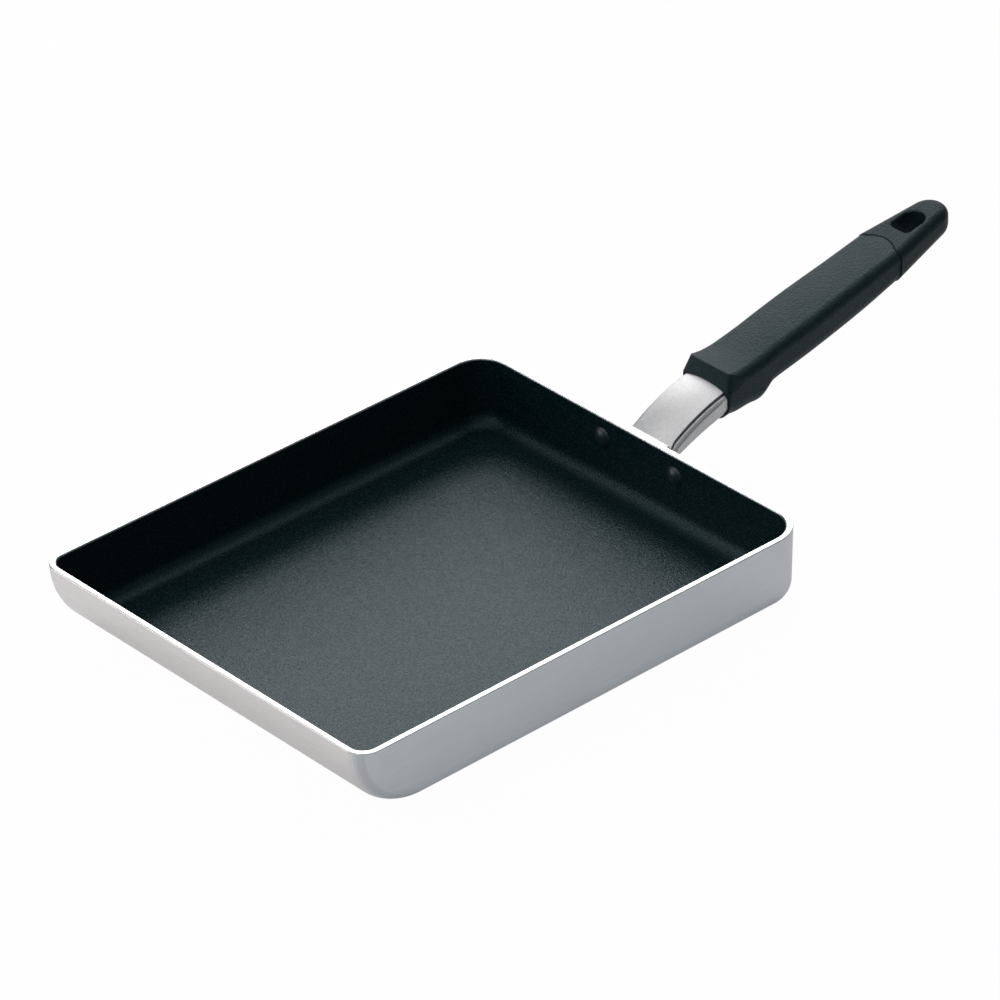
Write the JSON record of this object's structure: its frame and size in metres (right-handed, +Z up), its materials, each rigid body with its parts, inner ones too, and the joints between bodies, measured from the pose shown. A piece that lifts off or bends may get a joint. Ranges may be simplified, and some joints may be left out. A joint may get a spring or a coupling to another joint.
{
  "type": "rolled omelette pan",
  "caption": "Shallow rectangular pan for rolled omelettes, with a curved tip wall, a dark non-stick lining, a riveted arched neck and a moulded grip with a hanging hole in its tail cap.",
  "frame": {"origin": "on the table under the middle of the rim", "axes": "+Z up, +Y from the pan's curved tip wall towards the handle, +X to the right when looking along +Y"},
  "size_m": [0.1852, 0.3895, 0.0719],
  "materials": {
    "pan_aluminium": "satin",
    "coating": "fine speckled non-stick",
    "rivet_aluminium": "satin, coated inside the pan",
    "neck_aluminium": "bead blasted",
    "grip_plastic": "fine matte grain",
    "cap_plastic": "fine matte grain",
    "bolt_steel": "zinc plated",
    "washer_steel": "zinc plated"
  },
  "bodies": {
    "root": {"pan_body": "pan_aluminium", "nonstick_coating": "coating", "rivets": "rivet_aluminium", "handle_bracket": "neck_aluminium", "grip_body": "grip_plastic", "tail_cap": "cap_plastic", "handle_bolt": "bolt_steel", "spring_washer": "washer_steel", "plain_washer": "washer_steel"}
  },
  "joints": []
}
